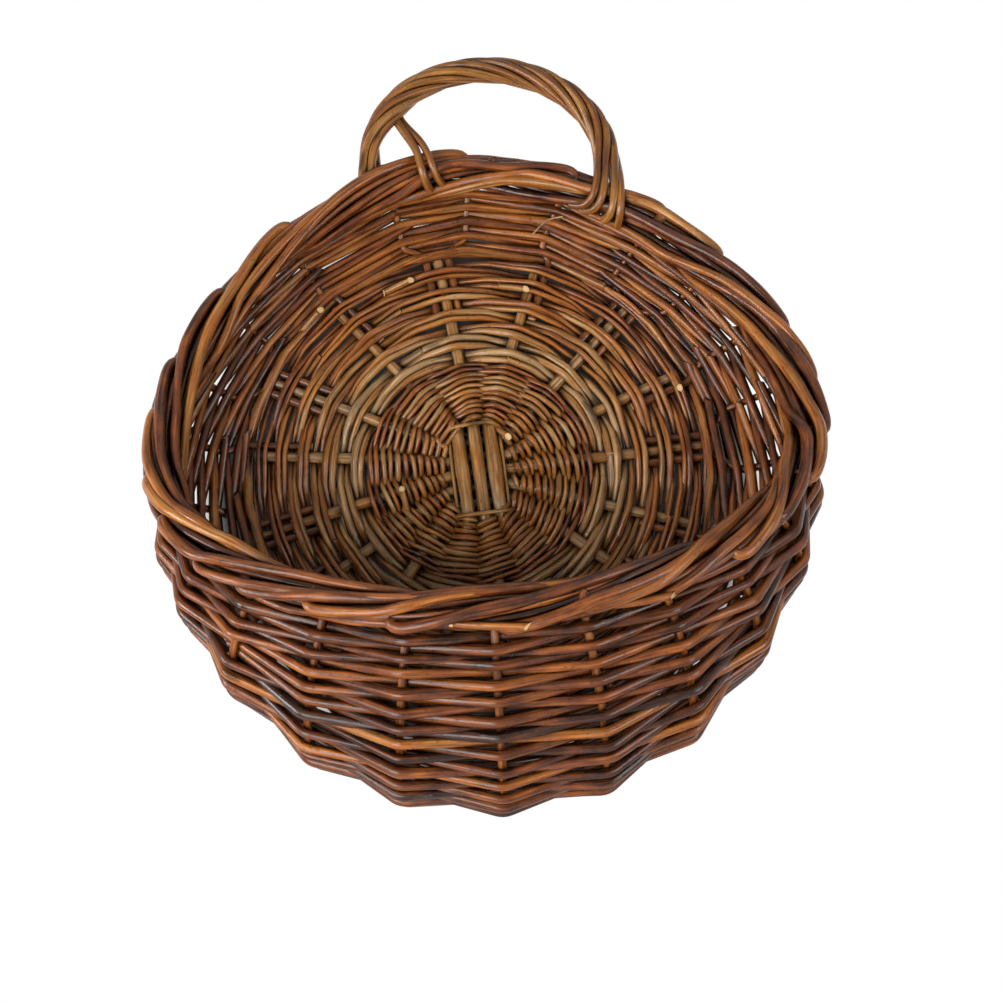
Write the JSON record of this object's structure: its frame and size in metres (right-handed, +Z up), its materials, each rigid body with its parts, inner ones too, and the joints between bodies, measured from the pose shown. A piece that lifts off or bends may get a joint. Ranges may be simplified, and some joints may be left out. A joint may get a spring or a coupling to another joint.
{
  "type": "wall basket",
  "caption": "Round wicker wall basket with a woven back disc, a deep front pocket, a rolled border and a twisted handle to hang it by.",
  "frame": {"origin": "underside of the handle's arch at its crown, where a hook or nail carries the basket", "axes": "+Z up, +Y back to the wall, +X to the right seen from the front"},
  "size_m": [0.25, 0.1005, 0.2954],
  "materials": {
    "base_stick": "varnished willow bark",
    "binding": "varnished split withy",
    "fine_weaver": "varnished willow bark",
    "disc_weaver": "varnished willow bark",
    "stake": "varnished willow bark",
    "wall_weaver": "varnished willow bark",
    "border_rod": "varnished willow bark",
    "handle_rod": "varnished willow bark"
  },
  "bodies": {
    "root": {"base_stick_front_1": "base_stick", "base_stick_front_2": "base_stick", "base_stick_front_3": "base_stick", "base_stick_rear_1": "base_stick", "base_stick_rear_2": "base_stick", "base_stick_rear_3": "base_stick", "base_stick_rear_4": "base_stick", "base_stick_rear_5": "base_stick", "binding_inner": "binding", "binding_outer": "binding", "fine_weave_1": "fine_weaver", "fine_weave_2": "fine_weaver", "disc_weave_1": "disc_weaver", "disc_weave_2": "disc_weaver", "disc_weave_3": "disc_weaver", "disc_weave_4": "disc_weaver", "disc_weave_5": "disc_weaver", "stake_01": "stake", "stake_02": "stake", "stake_03": "stake", "stake_04": "stake", "stake_05": "stake", "stake_06": "stake", "stake_07": "stake", "stake_08": "stake", "stake_09": "stake", "stake_10": "stake", "stake_11": "stake", "stake_12": "stake", "stake_13": "stake", "stake_14": "stake", "stake_15": "stake", "stake_16": "stake", "stake_17": "stake", "stake_18": "stake", "stake_19": "stake", "stake_20": "stake", "stake_21": "stake", "stake_22": "stake", "stake_23": "stake", "stake_24": "stake", "wall_weave_1": "wall_weaver", "wall_weave_2": "wall_weaver", "wall_weave_3": "wall_weaver", "wall_weave_4": "wall_weaver", "wall_weave_5": "wall_weaver", "wall_weave_6": "wall_weaver", "wall_weave_7": "wall_weaver", "wall_weave_8": "wall_weaver", "wall_weave_9": "wall_weaver", "border_strand_1": "border_rod", "border_strand_2": "border_rod", "border_strand_3": "border_rod", "handle_rod_1": "handle_rod", "handle_rod_2": "handle_rod", "handle_rod_3": "handle_rod", "handle_rod_4": "handle_rod", "handle_rod_5": "handle_rod"}
  },
  "joints": []
}
